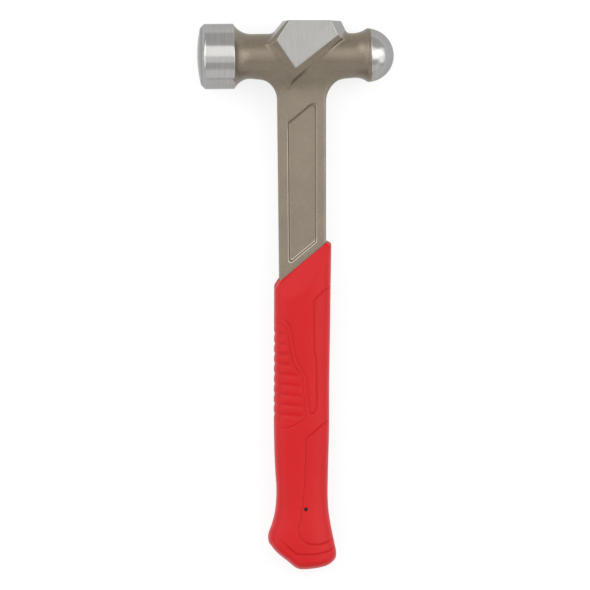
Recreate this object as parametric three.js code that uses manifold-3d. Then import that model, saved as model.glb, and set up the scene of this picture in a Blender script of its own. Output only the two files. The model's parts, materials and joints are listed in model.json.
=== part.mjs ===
// Ball peen hammer, drop forged in one piece, with a moulded sleeve grip.  Millimetres.
//
// The hammer is drawn in its own axes: +X from the striking face to the ball, +Y from the butt to
// the poll, +Z out of the upper cheek, with the head's axis through the origin.  At the end it is
// laid on a table: it rests on the face's rim, the ball and the butt, and stands on Z = 0.

import * as THREE from 'three';
import { ConvexGeometry } from 'three/addons/geometries/ConvexGeometry.js';
import { ParametricGeometry } from 'three/addons/geometries/ParametricGeometry.js';
import { mergeVertices } from 'three/addons/utils/BufferGeometryUtils.js';
import Module from 'manifold-3d';

const wasm = await Module();
wasm.setup();

// ---------------------------------------------------------------- driving dimensions

const GAP = 0.3;                     // clearance between pieces that sit on each other

const HEAD_TILT = 0.55;              // degrees, the head's axis rises towards the ball
const HEAD_SIDES = 40;
const FACE_TIP = -62.6;              // middle of the crowned striking face
const FACE_CROWN = 1.9;              // rise of the crown
const FACE_CHAMFER = 2.4;
const FACE_RADIUS = 19.7;
const FACE_BACK = -40.5;             // the face's cylinder rounds over here into the flare
const NECK_RADIUS = 13.3;
const NECK_LEFT = -30;               // the neck is a plain cylinder from here
const NECK_RIGHT = 31;               // to here
const FLARE_LEFT = 12.3;             // radii of the hollow flares into the face and the ball
const FLARE_RIGHT = 14;
const BALL_RADIUS = 16.2;
const BALL_CENTRE = 39.3;

const CHEEK_HALF = 15.3;             // half the head's thickness over the two cheek flats
const POLL_TOP = 20.9;               // height of the poll's flat above the head's axis
const SHOULDER_FLAT = 13.5;          // height at which the sloped shoulders meet the neck
const CHEEK_SKIRT = 8.6;             // half thickness at the foot of the cheek's bevels
const SHOULDER_HALF = 11.5;          // half thickness where the left shoulder's bevel starts

const SHANK_HALF = 5.6;              // half the shank's thickness
const SHANK_EDGE = 1.5;              // chamfer along the shank's edges
const SHANK_LEFT = -14.6;
const SHANK_RIGHT = 14.6;
const SHANK_LEFT_LOW = -13.4;        // the striking side narrows a little towards the grip
const SHANK_END = -152;              // the full section ends here, inside the grip
const WEB_FOOT = -27;                // where the thick web has thinned to the shank
const FILLET_LEFT = { x: -27.5, y: -26.6, r: 12.9 };
const FILLET_RIGHT = { x: 29.6, y: -27.8, r: 15 };

const POCKET_DEPTH = 1.2;
const POCKET_WALL = 1.5;             // run of the pocket's sloped wall
const POCKET_CORNER = 2.2;

const TANG_HALF_WIDTH = 8.5;
const TANG_HALF = 3.6;
const TANG_END = -284;
const DAMPER_WALL = 2;
const CORE_TOP = -156;
const SKIN = 3;                      // wall of the soft skin over the core

const CUT_LEFT = { x: -12.8, y: -135.4 };   // the slanted upper end of the grip
const CUT_RIGHT = { x: 15.1, y: -112.1 };
const LIP_HALF = 7;                  // half thickness of the grip's lip at the slanted end
const LIP_SLOPE = 0.484;             // rise of the lead-in ramp below the lip
const GRIP_POWER = 2.6;              // exponent of the grip's rounded section
const GRIP_SIDES = 32;
const GRIP_STEPS = 30;
const PIN_HOLE = { x: 2.9, y: -272.5, r: 1.2 };

// Stations down the grip: height, then the value there.
const GRIP_LEFT_EDGE = [
  [-100, -14.2], [-135.4, -14.2], [-139, -16.4], [-226, -16.5], [-262, -15.1], [-290, -20.3], [-312, -20.3],
];
const GRIP_RIGHT_EDGE = [
  [-100, 15.6], [-111.6, 15.6], [-115, 17.8], [-196, 16.8], [-260, 15.8], [-298, 21], [-312, 21],
];
const GRIP_HALF = [
  [-100, 13.2], [-225, 13.2], [-256, 12.9], [-290, 15.2], [-312, 15.2],
];

// ---------------------------------------------------------------- helpers

const degrees = (angle) => THREE.MathUtils.degToRad(angle);

/** A closed three.js geometry as a manifold solid: shared vertices merged, slivers dropped. */
function solid(geometry) {
  const bare = geometry.index ? geometry.toNonIndexed() : geometry.clone();
  bare.deleteAttribute('normal');
  bare.deleteAttribute('uv');
  const merged = mergeVertices(bare, 1e-4);
  const corners = merged.index.array;
  const kept = [];
  for (let i = 0; i < corners.length; i += 3) {
    const [a, b, c] = [corners[i], corners[i + 1], corners[i + 2]];
    if (a !== b && b !== c && c !== a) kept.push(a, b, c);
  }
  const mesh = new wasm.Mesh({
    numProp: 3,
    vertProperties: new Float32Array(merged.attributes.position.array),
    triVerts: new Uint32Array(kept),
  });
  return new wasm.Manifold(mesh);
}

/** A manifold solid as a three.js geometry. */
function toGeometry(body) {
  const mesh = body.getMesh();
  const geometry = new THREE.BufferGeometry();
  geometry.setAttribute('position', new THREE.Float32BufferAttribute(mesh.vertProperties, 3));
  geometry.setIndex(new THREE.Uint32BufferAttribute(mesh.triVerts, 1));
  geometry.computeVertexNormals();
  return geometry;
}

/** Joins a list of solids. */
const join = (...bodies) => bodies.reduce((whole, body) => whole.add(body));

/** A closed outline through corners [x, y, radius]; a corner with a radius becomes an arc. */
function outline(corners) {
  const shape = new THREE.Shape();
  corners.forEach(([x, y, radius = 0], i) => {
    const corner = new THREE.Vector2(x, y);
    const before = corners.at(i - 1);
    const after = corners[(i + 1) % corners.length];
    const back = new THREE.Vector2(before[0], before[1]).sub(corner).normalize();
    const ahead = new THREE.Vector2(after[0], after[1]).sub(corner).normalize();
    const half = Math.acos(THREE.MathUtils.clamp(back.dot(ahead), -1, 1)) / 2;
    const start = corner.clone().addScaledVector(back, radius / Math.tan(half));
    if (i === 0) shape.moveTo(start.x, start.y);
    else shape.lineTo(start.x, start.y);
    if (radius === 0) return;
    const end = corner.clone().addScaledVector(ahead, radius / Math.tan(half));
    const toCentre = back.clone().add(ahead).normalize();
    const centre = corner.clone().addScaledVector(toCentre, radius / Math.sin(half));
    const from = start.clone().sub(centre).angle();
    const to = end.clone().sub(centre).angle();
    shape.absarc(centre.x, centre.y, radius, from, to, back.cross(ahead) > 0);
  });
  return shape;
}

/** An outline given a thickness about Z = 0, with an optional chamfer that stays inside it. */
function plate(shape, halfThickness, chamfer = 0, curveSegments = 8) {
  const geometry = new THREE.ExtrudeGeometry(shape, {
    depth: 2 * (halfThickness - chamfer),
    bevelEnabled: chamfer > 0,
    bevelThickness: chamfer,
    bevelSize: chamfer,
    bevelOffset: -chamfer,
    bevelSegments: 1,
    curveSegments,
  });
  geometry.translate(0, 0, -(halfThickness - chamfer));
  return solid(geometry);
}

/** The value at height y of a list of [height, value] stations, eased between them. */
function station(list, y) {
  const i = THREE.MathUtils.clamp(list.findIndex(([height]) => height <= y), 1, list.length - 1);
  const [highY, high] = list[i - 1];
  const [lowY, low] = list[i];
  const t = THREE.MathUtils.smoothstep(highY - y, 0, highY - lowY);
  return high + (low - high) * t;
}

// ---------------------------------------------------------------- forged body

/** Points [x, radius] on a hollow flare that leaves the neck at one x and runs to another. */
function flare(from, to, radius, steps) {
  return Array.from({ length: steps + 1 }, (_, i) => {
    const x = from + (to - from) * (i / steps);
    return [x, NECK_RADIUS + radius - Math.sqrt(radius ** 2 - (x - from) ** 2)];
  });
}

/** Face, neck and ball: one profile turned about the head's axis. */
function turnedHead() {
  const rimX = FACE_TIP + FACE_CROWN;
  const rimRadius = FACE_RADIUS - FACE_CHAMFER;
  const crownSteps = 4;
  const crown = Array.from({ length: crownSteps + 1 }, (_, i) => {
    const t = i / crownSteps;
    return [FACE_TIP + FACE_CROWN * t * t, rimRadius * t];
  });
  const ballSteps = 11;
  const ball = Array.from({ length: ballSteps }, (_, i) => {
    const angle = (Math.PI / 2) * (1 - (i + 1) / ballSteps);
    return [BALL_CENTRE + BALL_RADIUS * Math.cos(angle), BALL_RADIUS * Math.sin(angle)];
  });
  const profile = [
    ...crown,
    [rimX + FACE_CHAMFER, FACE_RADIUS],
    [FACE_BACK - 1, FACE_RADIUS],
    ...flare(NECK_LEFT, FACE_BACK, FLARE_LEFT, 6).reverse(),
    ...flare(NECK_RIGHT, BALL_CENTRE + 0.4, FLARE_RIGHT, 6),
    ...ball,
  ];
  const points = profile.map(([x, r]) => new THREE.Vector2(r, x));
  points.at(-1).x = 0;
  const geometry = new THREE.LatheGeometry(points, HEAD_SIDES);
  geometry.rotateZ(-Math.PI / 2);
  geometry.rotateZ(degrees(HEAD_TILT));
  return solid(geometry);
}

/** The poll block: two cheek flats with bevels down to the neck, a flat top, sloped shoulders. */
function pollBlock() {
  const cheek = [[-8.3, POLL_TOP], [18.1, POLL_TOP], [21.5, 12.4], [-4.1, -7.7], [-15.6, 9.1]];
  const bevelFoot = [[-19.6, 6], [-6.4, -15.6], [27.6, 9.6]];
  const shoulders = [[-11.1, POLL_TOP], [23.4, POLL_TOP], [27.2, SHOULDER_FLAT], [-17.1, SHOULDER_FLAT]];
  const points = shoulders.map(([x, y]) => new THREE.Vector3(x, y, 0));
  for (const side of [-1, 1]) {
    for (const [x, y] of cheek) points.push(new THREE.Vector3(x, y, side * CHEEK_HALF));
    for (const [x, y] of bevelFoot) points.push(new THREE.Vector3(x, y, side * CHEEK_SKIRT));
    points.push(new THREE.Vector3(shoulders[0][0], POLL_TOP, side * SHOULDER_HALF));
  }
  return solid(new ConvexGeometry(points));
}

/** The web under the head: a wedge from the neck's underside down to the shank. */
function web() {
  const points = [];
  const arcSteps = 12;
  for (const x of [SHANK_LEFT + 0.4, SHANK_RIGHT - 0.4]) {
    for (let i = 0; i <= arcSteps; i += 1) {
      const angle = Math.PI * (i / arcSteps);
      const y = -Math.sin(angle) * (NECK_RADIUS - 0.1);
      points.push(new THREE.Vector3(x, y, Math.cos(angle) * (NECK_RADIUS - 0.1)));
    }
    for (const side of [-1, 1]) points.push(new THREE.Vector3(x * 0.9, WEB_FOOT, side * SHANK_HALF));
  }
  return solid(new ConvexGeometry(points));
}

/** The shank's outline, down to where it steps in to the tang, grown by a clearance. */
function shank(clearance = 0) {
  const shape = new THREE.Shape();
  shape.moveTo(FILLET_LEFT.x, 0);
  shape.lineTo(FILLET_LEFT.x, FILLET_LEFT.y + FILLET_LEFT.r - clearance);
  shape.absarc(FILLET_LEFT.x, FILLET_LEFT.y, FILLET_LEFT.r - clearance, Math.PI / 2, 0, true);
  shape.lineTo(SHANK_LEFT_LOW - clearance, SHANK_END - clearance);
  shape.lineTo(SHANK_RIGHT + clearance, SHANK_END - clearance);
  shape.absarc(FILLET_RIGHT.x, FILLET_RIGHT.y, FILLET_RIGHT.r - clearance, Math.PI, Math.PI / 2, true);
  shape.lineTo(FILLET_RIGHT.x, 0);
  return plate(shape, SHANK_HALF + clearance, SHANK_EDGE);
}

/** The tang inside the grip, grown on every side by a clearance or a wall. */
function tang(growth = 0) {
  const width = TANG_HALF_WIDTH + growth;
  const end = TANG_END - growth;
  const shape = outline([
    [-width, SHANK_END + 6], [-width, end, width - 1], [width, end, width - 1], [width, SHANK_END + 6],
  ]);
  return plate(shape, TANG_HALF + growth, 0.8);
}

/** The shallow slanted pocket in one side of the shank. */
function pocket(side) {
  const shape = outline([
    [-7.6, -41.1], [8.8, -26.2, POCKET_CORNER], [8.9, -110.5], [-7.1, -126, POCKET_CORNER],
  ].reverse());
  const geometry = new THREE.ExtrudeGeometry(shape, {
    depth: 2,
    bevelEnabled: true,
    bevelThickness: POCKET_DEPTH,
    bevelSize: POCKET_WALL,
    bevelOffset: -POCKET_WALL,
    bevelSegments: 1,
    curveSegments: 6,
  });
  geometry.translate(0, 0, SHANK_HALF);
  if (side < 0) geometry.rotateY(Math.PI);
  if (side < 0) geometry.translate(1.3, 0, 0);
  return solid(geometry);
}

const forging = join(turnedHead(), pollBlock(), web(), shank(), tang())
  .subtract(pocket(1))
  .subtract(pocket(-1));

// ---------------------------------------------------------------- grip

/** The grip's rounded body, shrunk by an inset: superellipse sections, one above another. */
function gripTube(inset) {
  const top = GRIP_HALF[0][0];
  const bottom = GRIP_HALF.at(-1)[0];
  const section = (u, v, target) => {
    const rings = GRIP_STEPS - 2;
    const level = THREE.MathUtils.clamp((v * GRIP_STEPS - 1) / rings, 0, 1);
    const open = v <= 0 || v >= 1 ? 0 : 1;
    const y = top + (bottom - top) * level;
    const left = station(GRIP_LEFT_EDGE, y) + inset;
    const right = station(GRIP_RIGHT_EDGE, y) - inset;
    const half = station(GRIP_HALF, y) - inset;
    const angle = 2 * Math.PI * (u % 1);
    const bend = (value) => Math.sign(value) * Math.abs(value) ** (2 / GRIP_POWER);
    const x = (left + right) / 2 + open * bend(Math.cos(angle)) * (right - left) / 2;
    target.set(x, y, open * bend(Math.sin(angle)) * half);
  };
  return solid(new ParametricGeometry(section, GRIP_SIDES, GRIP_STEPS));
}

/** Everything between a top edge and the slanted butt, as a plate wider than the grip. */
function gripWindow(leftTop, rightTop, inset) {
  const wide = 30;
  const deep = 40;
  const slope = (rightTop.y - leftTop.y) / (rightTop.x - leftTop.x);
  const butt = inset * 1.1;
  const shape = outline([
    [-wide, leftTop.y + slope * (-wide - leftTop.x)],
    [-wide, -272 + butt],
    [-19.6, -290.6 + butt, 4],
    [-14.4, -298.2 + butt, 8],
    [-2.2, -308.2 + butt, 3],
    [14, -306.4 + butt, 8],
    [21 - inset, -302.4 + butt, 3],
    [wide, -290],
    [wide, rightTop.y + slope * (wide - rightTop.x)],
  ]);
  return plate(shape, deep);
}

/** The stiff core's outer shape, grown by a clearance. */
function coreBlank(clearance = 0) {
  const level = CORE_TOP + clearance;
  const window = gripWindow({ x: -1, y: level }, { x: 1, y: level }, SKIN - clearance);
  return gripTube(SKIN - clearance).intersect(window);
}

/** What the lead-in ramp takes off one side of the grip below its slanted lip. */
function rampCutter(side) {
  const reach = 120;
  const geometry = new THREE.BoxGeometry(reach, reach, reach);
  geometry.translate(0, 0, side * reach / 2);
  geometry.rotateX(-side * Math.atan(LIP_SLOPE));
  geometry.translate(0, 0, side * LIP_HALF);
  geometry.rotateZ(Math.atan2(CUT_RIGHT.y - CUT_LEFT.y, CUT_RIGHT.x - CUT_LEFT.x));
  geometry.translate(CUT_LEFT.x, CUT_LEFT.y, 0);
  return solid(geometry);
}

/** The small round hole through the skin that shows the dark core. */
function pinHole() {
  const geometry = new THREE.CylinderGeometry(PIN_HOLE.r, PIN_HOLE.r, 60, 16);
  geometry.rotateX(Math.PI / 2);
  geometry.translate(PIN_HOLE.x, PIN_HOLE.y, 0);
  return solid(geometry);
}

const damper = tang(GAP + DAMPER_WALL)
  .subtract(tang(GAP))
  .intersect(gripWindow({ x: -1, y: CORE_TOP }, { x: 1, y: CORE_TOP }, 0));

const core = coreBlank().subtract(tang(2 * GAP + DAMPER_WALL));

const skin = gripTube(0)
  .intersect(gripWindow(CUT_LEFT, CUT_RIGHT, 0))
  .subtract(join(coreBlank(GAP), shank(GAP), tang(GAP)))
  .subtract(rampCutter(1))
  .subtract(rampCutter(-1))
  .subtract(pinHole());

// ---------------------------------------------------------------- assembly

const paintedSteel = new THREE.MeshStandardMaterial({ color: 0x8c8273, roughness: 0.42, metalness: 0.6 });
const damperRubber = new THREE.MeshStandardMaterial({ color: 0x2a2a2c, roughness: 0.9, metalness: 0 });
const coreNylon = new THREE.MeshStandardMaterial({ color: 0x1c1c1e, roughness: 0.6, metalness: 0 });
const redElastomer = new THREE.MeshStandardMaterial({ color: 0xd8303a, roughness: 0.6, metalness: 0 });

/** A named mesh of one solid. */
function piece(name, body, material) {
  const mesh = new THREE.Mesh(toGeometry(body), material);
  mesh.name = name;
  return mesh;
}

const hammer = new THREE.Group();
hammer.add(
  piece('forged_body', forging, paintedSteel),
  piece('tang_damper', damper, damperRubber),
  piece('grip_core', core, coreNylon),
  piece('grip_overmould', skin, redElastomer),
);

/** All corners of a mesh that pass a test, as vectors. */
function cornersOf(mesh, test) {
  const p = mesh.geometry.attributes.position;
  const found = [];
  for (let i = 0; i < p.count; i += 1) {
    const corner = new THREE.Vector3().fromBufferAttribute(p, i);
    if (test(corner)) found.push(corner);
  }
  return found;
}

/** The corner that lies furthest in a direction. */
const furthest = (corners, down) => corners.reduce((a, b) => (b.dot(down) > a.dot(down) ? b : a));

/** The direction that points straight down when the hammer lies on face rim, ball and butt. */
function restingDown() {
  const body = hammer.getObjectByName('forged_body');
  const grip = hammer.getObjectByName('grip_overmould');
  const face = cornersOf(body, (p) => p.x < NECK_LEFT && p.y > -30);
  const ball = cornersOf(body, (p) => p.x > NECK_RIGHT && p.y > -30);
  const butt = cornersOf(grip, (p) => p.y < -230);
  const down = new THREE.Vector3(0, 0, -1);
  for (let i = 0; i < 20; i += 1) {
    const [a, b, c] = [face, ball, butt].map((corners) => furthest(corners, down));
    down.copy(b).sub(a).cross(c.clone().sub(a)).normalize();
    if (down.z > 0) down.negate();
  }
  return down;
}

hammer.quaternion.setFromUnitVectors(restingDown(), new THREE.Vector3(0, 0, -1));
const part = new THREE.Group();
part.add(hammer);
part.updateMatrixWorld(true);
const box = new THREE.Box3().setFromObject(part, true);
hammer.position.set(-(box.min.x + box.max.x) / 2, -(box.min.y + box.max.y) / 2, -box.min.z);
part.updateMatrixWorld(true);

export default part;
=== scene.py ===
"""Ball peen hammer, forged in one piece, with a red moulded sleeve grip.

Shapes are worked out in millimetres on the hammer's own bench axes: +X from the striking face to the
ball, +Y from the butt to the poll, +Z out of the upper cheek, with the head's axis through the origin.
"""

import json
import math

import bmesh
import bpy
import numpy as np
from mathutils import Matrix, Vector


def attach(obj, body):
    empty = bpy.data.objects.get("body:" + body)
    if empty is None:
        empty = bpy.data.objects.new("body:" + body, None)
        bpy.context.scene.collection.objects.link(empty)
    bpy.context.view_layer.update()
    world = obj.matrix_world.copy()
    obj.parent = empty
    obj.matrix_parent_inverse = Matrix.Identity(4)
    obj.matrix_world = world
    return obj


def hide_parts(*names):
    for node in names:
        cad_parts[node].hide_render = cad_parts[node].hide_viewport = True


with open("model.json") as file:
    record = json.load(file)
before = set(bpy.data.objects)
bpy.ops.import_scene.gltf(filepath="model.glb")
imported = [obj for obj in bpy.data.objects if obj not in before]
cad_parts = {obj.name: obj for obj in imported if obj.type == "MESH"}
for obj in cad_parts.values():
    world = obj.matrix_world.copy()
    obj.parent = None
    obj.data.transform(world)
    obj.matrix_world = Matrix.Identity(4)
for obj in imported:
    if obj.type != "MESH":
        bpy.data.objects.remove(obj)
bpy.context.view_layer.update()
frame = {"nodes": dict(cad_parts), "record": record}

# ---------------------------------------------------------------- bench axes in the frame

MM = 0.001
POLL_MOUNT = (5.0, 20.9, 0.0)  # where the poll's mount lies on the bench axes

mounts = {mount["name"]: mount for mount in frame["record"]["mounts"]}
BENCH_Y = np.array(mounts["poll_top"]["axis"])
BENCH_Z = np.array(mounts["upper_cheek"]["axis"])
BENCH_X = np.cross(BENCH_Y, BENCH_Z)
BENCH = np.column_stack([axis / np.linalg.norm(axis) for axis in (BENCH_X, BENCH_Y, BENCH_Z)])
BENCH_ORIGIN = np.array(mounts["poll_top"]["pos_m"]) - BENCH @ np.array(POLL_MOUNT) * MM

# ---------------------------------------------------------------- dimensions, millimetres

HEAD_TILT = math.tan(math.radians(0.55))  # the head's axis rises this steeply towards the ball
HEAD_LEAN = 0.022  # the head's rims lean a little towards the striking face at the top
FACE_TIP, FACE_CROWN, FACE_CHAMFER, FACE_RADIUS = -62.55, 1.9, 2.4, 19.62
FACE_LINE = -40.5  # the bare striking face ends here
NECK_RADIUS, NECK_LEFT, NECK_RIGHT = 13.3, -30.0, 31.0
FLARE_LEFT, FLARE_RIGHT = 12.3, 14.0  # radii of the hollow flares into face and ball
FLARE_RUNS = (0.94 * FLARE_LEFT, 9.6)  # each flare stops widening after so long
BALL_CENTRE, BALL_RADIUS, BALL_LINE = 39.3, 16.15, 41.4

SHANK_HALF, SHANK_EDGE, SHANK_END = 5.6, 1.4, -150.0
SHANK_TAPER = 1.2 / 104  # the striking side leans in towards the grip
EDGE_GROWTH = (11.0, -14.0, 3.0)  # its edge rounding grows this much around this height, over this length
WEB_REACH, WEB_LINE, WEB_HALF = 4.0, 18.6, 12.4  # half thickness: line + height, eased in, up to a most
FILLET_LEFT = (-27.5, -26.6, 12.9)  # centre x, centre y, radius
FILLET_RIGHT = (29.6, -27.8, 15.0)
FILLET_SLOPE = 0.2  # the plate's sides fall off this steeply beyond the fillets' centres
POCKET_DEPTH, POCKET_WALL, POCKET_ROUND, POCKET_CORNERS = 1.4, 0.8, 0.8, (2.2, 3.9)
POCKET_SLOPE = 0.83  # of its two slanted ends
POCKET_TOP, POCKET_FOOT = (-8.05, -40.5), (8.1, -111.6)  # a point on each end's line
POCKET_LEFT, POCKET_LEAN, POCKET_RIGHT = (-8.05, -45.0), 0.0085, 8.3  # a point and lean, then a place

CHEEK_HALF, POLL_TOP = 15.3, 20.9
TANG_HALF_WIDTH, TANG_HALF, TANG_END = 8.5, 3.6, -284.0

CUT_LEFT, CUT_RIGHT = -138.2, -109.8  # heights of the grip's slanted upper end at its two edges
CUT_ANGLE = math.radians(39.9)
CUT_MIDDLE = 0.8  # the grip's middle at that end
LIP_HALF, LIP_SLOPE = 6.8, 0.5
LIP_RISE, LIP_LEAN = 1.9, 0.75  # the lip stands higher at the shank's edges, more on the striking side
LIP_CORNER, LIP_FALLS = 2.7, (3.4, 1.5)  # the lip's outer corners come in so far, over these drops
LIP_SECTION = (17.15, 13.1)  # half width and half thickness of the grip under the lip
LIP_ROUND = ((0.8, 0.22), (0.45, 0.3), (0.12, 0.12), (0.0, -0.4), (0.0, -6.0))  # share of lip, rise
THROAT_MIDDLE, THROAT_HALF_WIDTH, THROAT_HALF = 0.93, 14.12, 5.8
THROAT_POWERS = (9, 5)  # how square its section is across and through
THROAT_END, CORE_TOP = SHANK_END - 2.6, -155.8
GRIP_POWER = 2.6
WALL, BUTT_WALL = 2.7, 3.0
BUTT_MIDDLE, BUTT_HALF_WIDTH, CAVITY_HALF_WIDTH = 0.35, 20.6, 18.0
BUTT_ROUND, BUTT_POWER = 5.0, 2.6  # how far up the butt's edge is rounded, and how squarely


# ---------------------------------------------------------------- mesh building

WELD = 0.004  # points this close, in millimetres, become one


def to_frame(points):
    """Bench millimetres to metres in the frame."""
    return np.asarray(points) @ BENCH.T * MM + BENCH_ORIGIN


def make_piece(name, points, faces, replaced, weld=0.0, attributes=None, normals=None):
    """A mesh object from bench points and faces, riding on the hammer in place of a CAD node."""
    mesh = bpy.data.meshes.new(name)
    mesh.from_pydata(to_frame(points), [], faces)
    for label, values in (attributes or {}).items():
        layer = mesh.attributes.new(label, "FLOAT", "POINT")
        layer.data.foreach_set("value", np.ascontiguousarray(values, dtype=np.float32))
    if weld:
        shell = bmesh.new()
        shell.from_mesh(mesh)
        bmesh.ops.remove_doubles(shell, verts=shell.verts, dist=weld * MM)
        bmesh.ops.recalc_face_normals(shell, faces=shell.faces)
        shell.to_mesh(mesh)
        shell.free()
    mesh.shade_smooth()
    if normals is not None:
        mesh.normals_split_custom_set_from_vertices(normals @ BENCH.T)
    piece = bpy.data.objects.new(name, mesh)
    bpy.context.scene.collection.objects.link(piece)
    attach(piece, "root")
    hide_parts(replaced)
    return piece


def grid_faces(rows, around):
    """Quads of a grid that closes on itself around."""
    index = np.arange(rows * around).reshape(rows, around)
    ahead = np.roll(index, -1, axis=1)
    quads = np.stack([index[:-1], ahead[:-1], ahead[1:], index[1:]], axis=-1)
    return quads.reshape(-1, 4)


def smooth_max(a, b, k):
    """The larger of two values, with their meeting rounded over a width k."""
    h = np.clip(0.5 + 0.5 * (a - b) / k, 0, 1)
    return b + (a - b) * h + k * h * (1 - h)


def smooth_min(a, b, k):
    """The smaller of two values, with their meeting rounded over a width k."""
    return -smooth_max(-a, -b, k)


def round_corner(a, b, radius):
    """Where two half spaces meet, their corner is a true arc."""
    arc = np.hypot(np.maximum(a + radius, 0), np.maximum(b + radius, 0))
    return np.minimum(np.maximum(a, b), -radius) + arc


def stations(points, y):
    """A smooth curve of value against height, through (height, value) points from low to high."""
    heights, values = np.array(sorted(points)).T
    slopes = np.gradient(values, heights)
    i = np.clip(np.searchsorted(heights, y) - 1, 0, len(heights) - 2)
    span = heights[i + 1] - heights[i]
    t = np.clip((y - heights[i]) / span, 0, 1)
    rise = values[i + 1] - values[i]
    curve = values[i] + rise * t * t * (3 - 2 * t)
    bend = slopes[i] * t * (1 - t) ** 2 - slopes[i + 1] * t * t * (1 - t)
    return curve + span * bend


# ---------------------------------------------------------------- forging

def plane(a, b, c):
    """The plane through three points, its normal pointing away from the head's middle."""
    a, b, c = (np.array(point, dtype=float) for point in (a, b, c))
    normal = np.cross(b - a, c - a)
    normal /= np.linalg.norm(normal)
    reach = normal @ a
    return (*normal, reach) if reach > 0 else (*-normal, -reach)


CHEEK_CORNERS = ((-8.3, 20.2), (17.7, 20.2), (21.5, 12.4), (-4.1, -7.7), (-15.6, 9.1))


def poll_planes():
    """The flats that bound the poll block: cheek, top, two shoulders, bevels and their steep feet."""
    top_left, top_right, right, foot, left = ((x, y, CHEEK_HALF) for x, y in CHEEK_CORNERS)
    return {
        "cheek": (0, 0, 1, CHEEK_HALF),
        "top": (0, 1, 0, POLL_TOP),
        "right_shoulder": plane(top_right, right, (25.2, 17.8, 0)),
        "left_shoulder": plane((-17.1, 13.5, 0), (-11.1, 20.9, 0), (-13.4, 15.9, 12.2)),
        "left_bevel": plane(top_left, left, (-14.3, 15.0, 12.4)),
        "lower_left_bevel": plane(left, foot, (-13.6, -3.3, 12.8)),
        "lower_right_bevel": plane(foot, right, (11.4, -1.4, 13.2)),
        "lower_left_foot": plane((-20.0, 6.6, 12.8), (-7.5, -10.5, 12.8), (-15.4, -4.2, 9.2)),
        "lower_right_foot": plane((-1.4, -10.9, 13.2), (23.9, 10.3, 13.2), (11.3, -1.7, 9.2)),
    }


PLANES = poll_planes()


def neck_radius(x):
    """The neck's radius: a cylinder between two hollow flares, the second running onto the ball."""
    left = np.clip(NECK_LEFT - x, 0, FLARE_RUNS[0])
    right = np.clip(x - NECK_RIGHT, 0, FLARE_RUNS[1])
    rise = FLARE_LEFT - np.sqrt(FLARE_LEFT**2 - left**2) + FLARE_RIGHT - np.sqrt(FLARE_RIGHT**2 - right**2)
    flare = np.minimum(NECK_RADIUS + rise, FACE_RADIUS - 0.25)
    ball = np.sqrt(np.maximum((BALL_RADIUS + 0.05) ** 2 - (x - BALL_CENTRE) ** 2, 1))
    return np.where(x > NECK_RIGHT, smooth_min(flare, ball, 0.5), flare)


def above_pocket(x, y):
    """Distance above the line of the pocket's slanted upper wall."""
    return (y - POCKET_TOP[1] - POCKET_SLOPE * (x - POCKET_TOP[0])) / math.hypot(1, POCKET_SLOPE)


def below_pocket(x, y):
    """Distance below the line of the pocket's slanted lower wall."""
    return (POCKET_FOOT[1] - y + POCKET_SLOPE * (x - POCKET_FOOT[0])) / math.hypot(1, POCKET_SLOPE)


def pocket_distance(x, y):
    """Distance outside the slanted pocket's outline: its lower left and upper right corners are rounded."""
    left = POCKET_LEFT[0] - POCKET_LEAN * (y - POCKET_LEFT[1]) - x
    right = x - POCKET_RIGHT
    lower_left = round_corner(left, below_pocket(x, y), POCKET_CORNERS[0])
    upper_right = round_corner(right, above_pocket(x, y), POCKET_CORNERS[1])
    return np.maximum(lower_left, upper_right)


def shank_plate(x, y, z):
    """The web and shank: a plate with filleted sides, thick at the neck, pocketed on both faces.

    Its half thickness is the shank's, plus a web that grows smoothly above a line, less the pocket.
    """
    above_left = np.maximum(y - FILLET_LEFT[1], 0)
    above_right = np.maximum(y - FILLET_RIGHT[1], 0)
    lean = SHANK_TAPER * np.maximum(FILLET_LEFT[1] - y, 0)
    left = FILLET_LEFT[2] - np.hypot(np.maximum(x - FILLET_LEFT[0] - lean, 0), above_left)
    right = FILLET_RIGHT[2] - np.hypot(np.maximum(FILLET_RIGHT[0] - x, 0), above_right)
    ends = np.maximum(y, SHANK_END - y)
    left = left + FILLET_SLOPE * np.maximum(FILLET_LEFT[0] + 1.0 - x, 0)
    right = right + FILLET_SLOPE * np.maximum(x - FILLET_RIGHT[0] + 1.0, 0)
    side = np.maximum(np.maximum(left, right), ends)
    web = WEB_REACH * np.log1p(np.exp((WEB_LINE + y - SHANK_HALF) / WEB_REACH))
    half = smooth_min(SHANK_HALF + web, WEB_HALF, 2.0)
    fall = POCKET_DEPTH * (0.5 - pocket_distance(x, y) / POCKET_WALL)
    half = half - smooth_min(smooth_max(fall, 0, POCKET_ROUND), POCKET_DEPTH, POCKET_ROUND)
    growth, middle, length = EDGE_GROWTH
    edge = np.minimum(SHANK_EDGE + growth / (1 + np.exp(-(y - middle) / length)), half)
    return round_corner(side, np.abs(z) - half, edge)


def forging_field(x, y, z, step=0.35):
    """Below zero inside the painted forging: neck, plate and poll block run together by fillets.

    The neck ends just inside the bare striking face, and steps in under the bare ball.
    """
    along = x + HEAD_LEAN * y
    neck = np.hypot(y - HEAD_TILT * x, z) - neck_radius(along) + step * (along > BALL_LINE)
    ends = np.maximum(FACE_LINE - 1.5 - along, along - BALL_LINE - 1.5)
    neck = np.maximum(neck, ends)
    body = smooth_min(neck, shank_plate(x, y, z), 2.5)
    block = None
    for nx, ny, nz, reach in PLANES.values():
        flat = nx * x + ny * y + nz * np.abs(z) - reach
        block = flat if block is None else smooth_max(block, flat, 0.3)
    return smooth_min(body, block, 2.0)


def spaced(*stretches):
    """Lattice ticks from (start, end, step) stretches laid end to end."""
    parts = [np.linspace(a, b, round((b - a) / step), endpoint=False) for a, b, step in stretches]
    return np.append(np.concatenate(parts), stretches[-1][1])


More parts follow.
